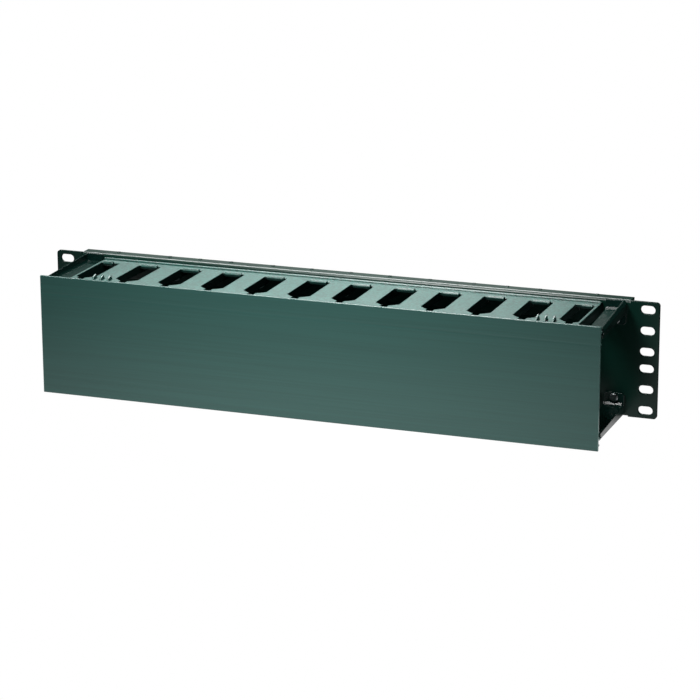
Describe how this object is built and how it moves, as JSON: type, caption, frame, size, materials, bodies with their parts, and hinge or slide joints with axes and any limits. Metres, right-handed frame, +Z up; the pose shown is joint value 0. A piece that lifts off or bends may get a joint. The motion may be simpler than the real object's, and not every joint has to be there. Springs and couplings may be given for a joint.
{
  "type": "horizontal cable manager",
  "caption": "Horizontal rack cable manager: slotted steel bracket, upper and lower walls of moulded fingers, and a full-width hinged front cover.",
  "frame": {"origin": "middle of the rear face of the ears, which lies against the rack", "axes": "+X along the rack's width, +Y towards the back of the rack, +Z up"},
  "size_m": [0.4826, 0.0885, 0.0922],
  "materials": {
    "powder_coated_steel": "fine-textured black powder coat",
    "moulded_fingers": "moulded, fine spark texture",
    "moulded_arms": "moulded, fine spark texture",
    "extruded_cover": "extruded, satin, with faint lines along its length",
    "plated_rivets": "bright plated"
  },
  "bodies": {
    "frame": {"mounting_bracket": "powder_coated_steel", "upper_finger_wall": "moulded_fingers", "lower_finger_wall": "moulded_fingers", "upper_left_arm": "moulded_arms", "upper_right_arm": "moulded_arms", "lower_left_arm": "moulded_arms", "lower_right_arm": "moulded_arms", "arm_rivet_1": "plated_rivets", "arm_rivet_2": "plated_rivets", "arm_rivet_3": "plated_rivets", "arm_rivet_4": "plated_rivets", "wall_rivet_1": "plated_rivets", "wall_rivet_2": "plated_rivets", "wall_rivet_3": "plated_rivets", "wall_rivet_4": "plated_rivets", "wall_rivet_5": "plated_rivets", "wall_rivet_6": "plated_rivets", "wall_rivet_7": "plated_rivets", "wall_rivet_8": "plated_rivets", "wall_rivet_9": "plated_rivets", "wall_rivet_10": "plated_rivets"},
    "cover": {"front_cover": "extruded_cover"}
  },
  "joints": [
    {"name": "cover_hinge", "type": "hinge", "parent": "frame", "child": "cover", "pos_m": [0, -0.075, 0.039], "axis": [-1, 0, 0], "range_deg": [0, 90]}
  ]
}
